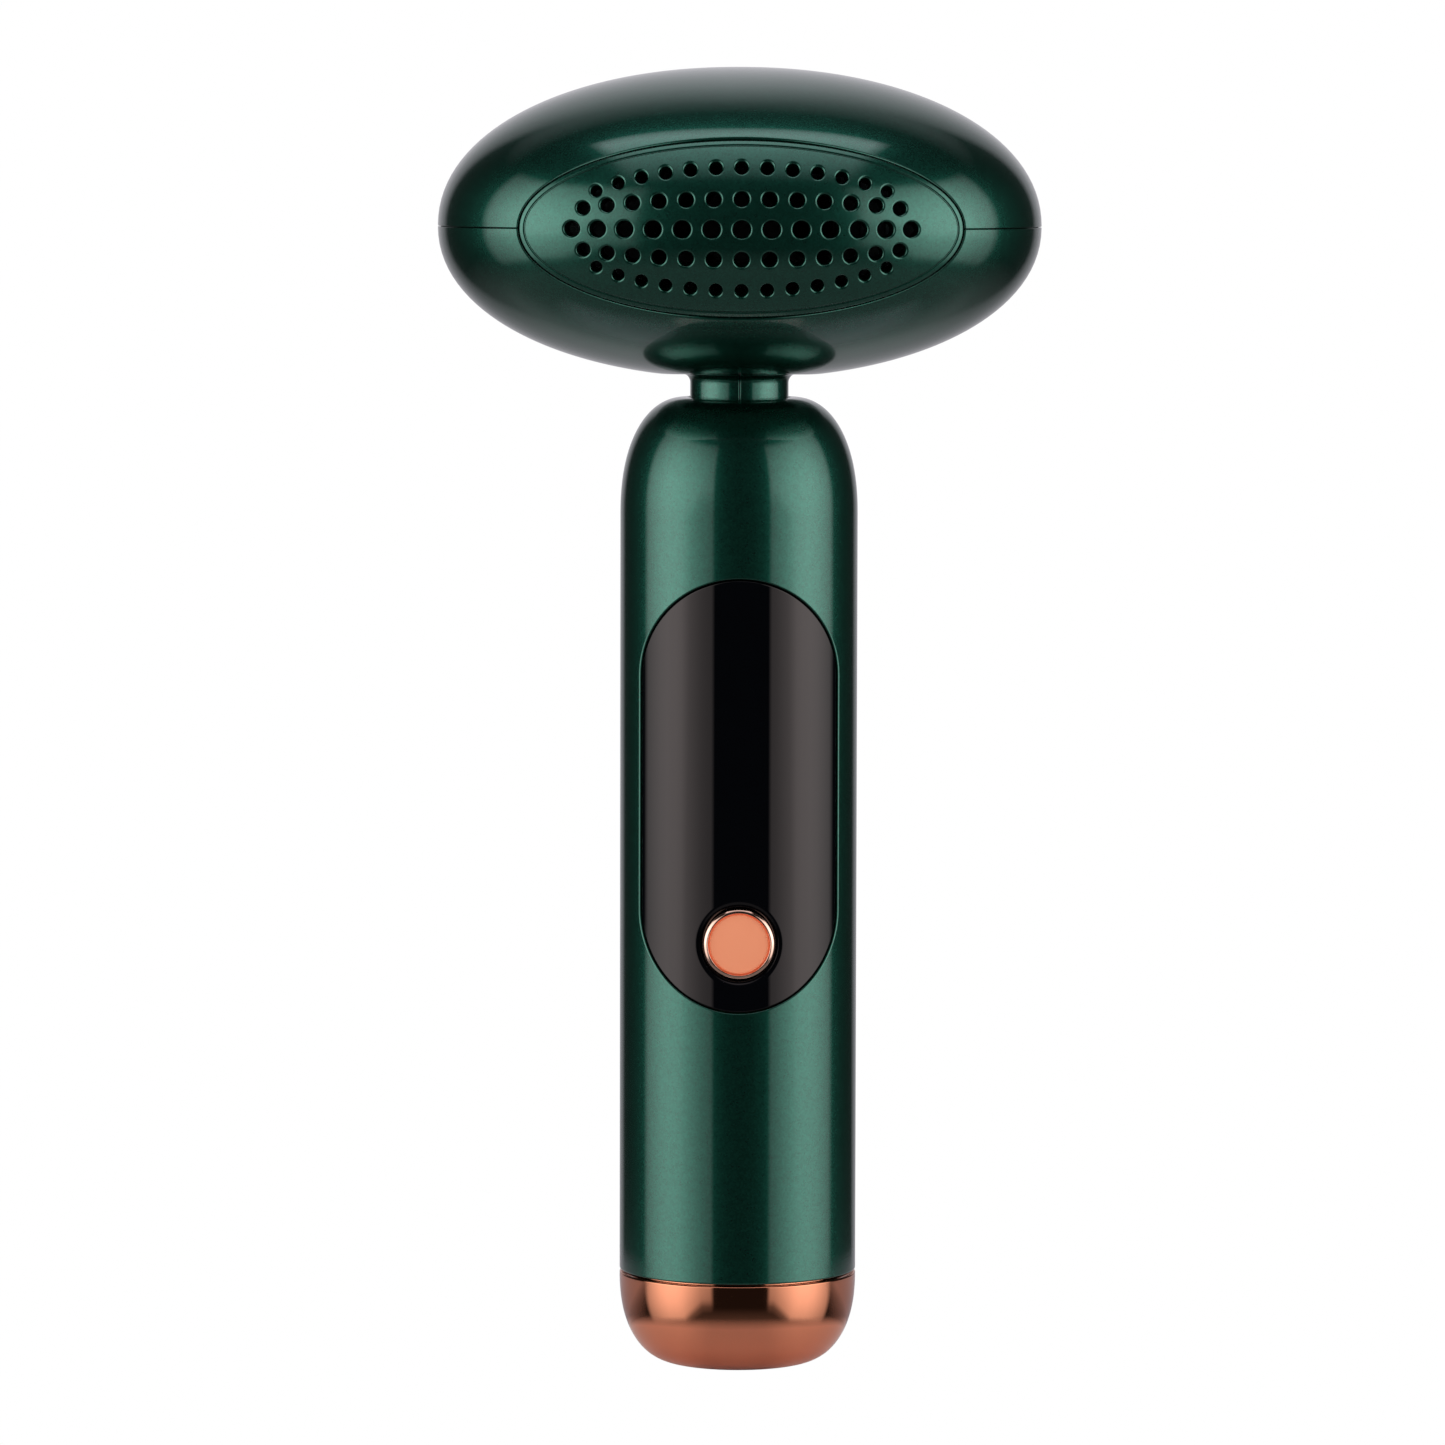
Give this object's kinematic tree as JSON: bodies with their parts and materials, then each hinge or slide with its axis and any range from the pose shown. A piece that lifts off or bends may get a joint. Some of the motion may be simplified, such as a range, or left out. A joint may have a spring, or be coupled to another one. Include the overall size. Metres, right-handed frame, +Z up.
{
  "type": "skin scrubber",
  "caption": "Handheld skin scrubber with a wide oval head that turns on a round handle, a vented rear panel, a flush display strip and a press button.",
  "frame": {"origin": "centre of the flat underside of the end cap", "axes": "+Z up the handle to the head, +Y towards the treatment plate, -Y towards the vented panel, the display and the button"},
  "size_m": [0.0912, 0.0636, 0.1971],
  "materials": {
    "green_lacquer": "gloss",
    "rose_gold": "polished",
    "black_acrylic": "gloss",
    "black_nylon": "matte",
    "frosted_acrylic": "satin",
    "polished_aluminium": "polished",
    "aluminium": "satin",
    "steel": "satin",
    "circuit_board": "satin",
    "alumina": "matte",
    "rubber": "matte",
    "battery_can": "satin",
    "red_pvc": "satin",
    "black_pvc": "satin"
  },
  "bodies": {
    "handle": {"handle_shell": "green_lacquer", "end_cap": "rose_gold", "cap_seal": "rubber", "friction_ring": "rubber", "display_lens": "black_acrylic", "display_module": "black_nylon", "main_board": "circuit_board", "board_screw_1": "steel", "board_screw_2": "steel", "board_screw_3": "steel", "board_screw_4": "steel", "chassis": "black_nylon", "battery_cell": "battery_can", "battery_lead_red": "red_pvc", "battery_lead_black": "black_pvc", "head_plug": "black_nylon", "charge_port": "steel", "charge_board": "circuit_board", "button_ring": "rose_gold", "tact_switch": "black_nylon"},
    "head": {"neck_left_half": "green_lacquer", "neck_right_half": "green_lacquer", "swivel_tube": "aluminium", "neck_clamp": "steel", "clamp_screw_1": "steel", "clamp_screw_2": "steel", "head_loom": "black_pvc", "head_upper_shell": "green_lacquer", "head_lower_shell": "green_lacquer", "rear_grille": "green_lacquer", "front_bezel": "rose_gold", "light_ring": "frosted_acrylic", "contact_plate": "polished_aluminium", "lamp_board": "circuit_board", "peltier_left": "alumina", "peltier_right": "alumina", "heat_sink": "aluminium", "head_carrier": "black_nylon", "sink_screw_1": "steel", "sink_screw_2": "steel", "carrier_screw_1": "steel", "carrier_screw_2": "steel", "carrier_screw_3": "steel", "carrier_screw_4": "steel", "fan_frame": "black_nylon", "fan_screw_1": "steel", "fan_screw_2": "steel", "fan_screw_3": "steel", "fan_screw_4": "steel", "shaker_motor": "steel"},
    "button": {"button_cap": "rose_gold", "switch_plunger": "black_nylon"},
    "fan": {"fan_rotor": "black_nylon"},
    "shaker": {"shaker_weight": "steel"}
  },
  "joints": [
    {"name": "head_swivel", "type": "hinge", "parent": "handle", "child": "head", "pos_m": [0, 0, 0.1414], "axis": [0, 0, 1], "range_deg": [-90, 90]},
    {"name": "button_press", "type": "slide", "parent": "handle", "child": "button", "axis": [0, 1, 0], "range_m": [0, 0.0005], "stiffness_N_per_m": 1500, "springref_m": -0.0006},
    {"name": "fan_spin", "type": "hinge", "parent": "head", "child": "fan", "pos_m": [0, -0.0073, 0.1731], "axis": [0, 1, 0], "continuous": true},
    {"name": "shaker_spin", "type": "hinge", "parent": "head", "child": "shaker", "pos_m": [0.0328, 0.0042, 0.1801], "axis": [0, 0, 1], "continuous": true}
  ]
}
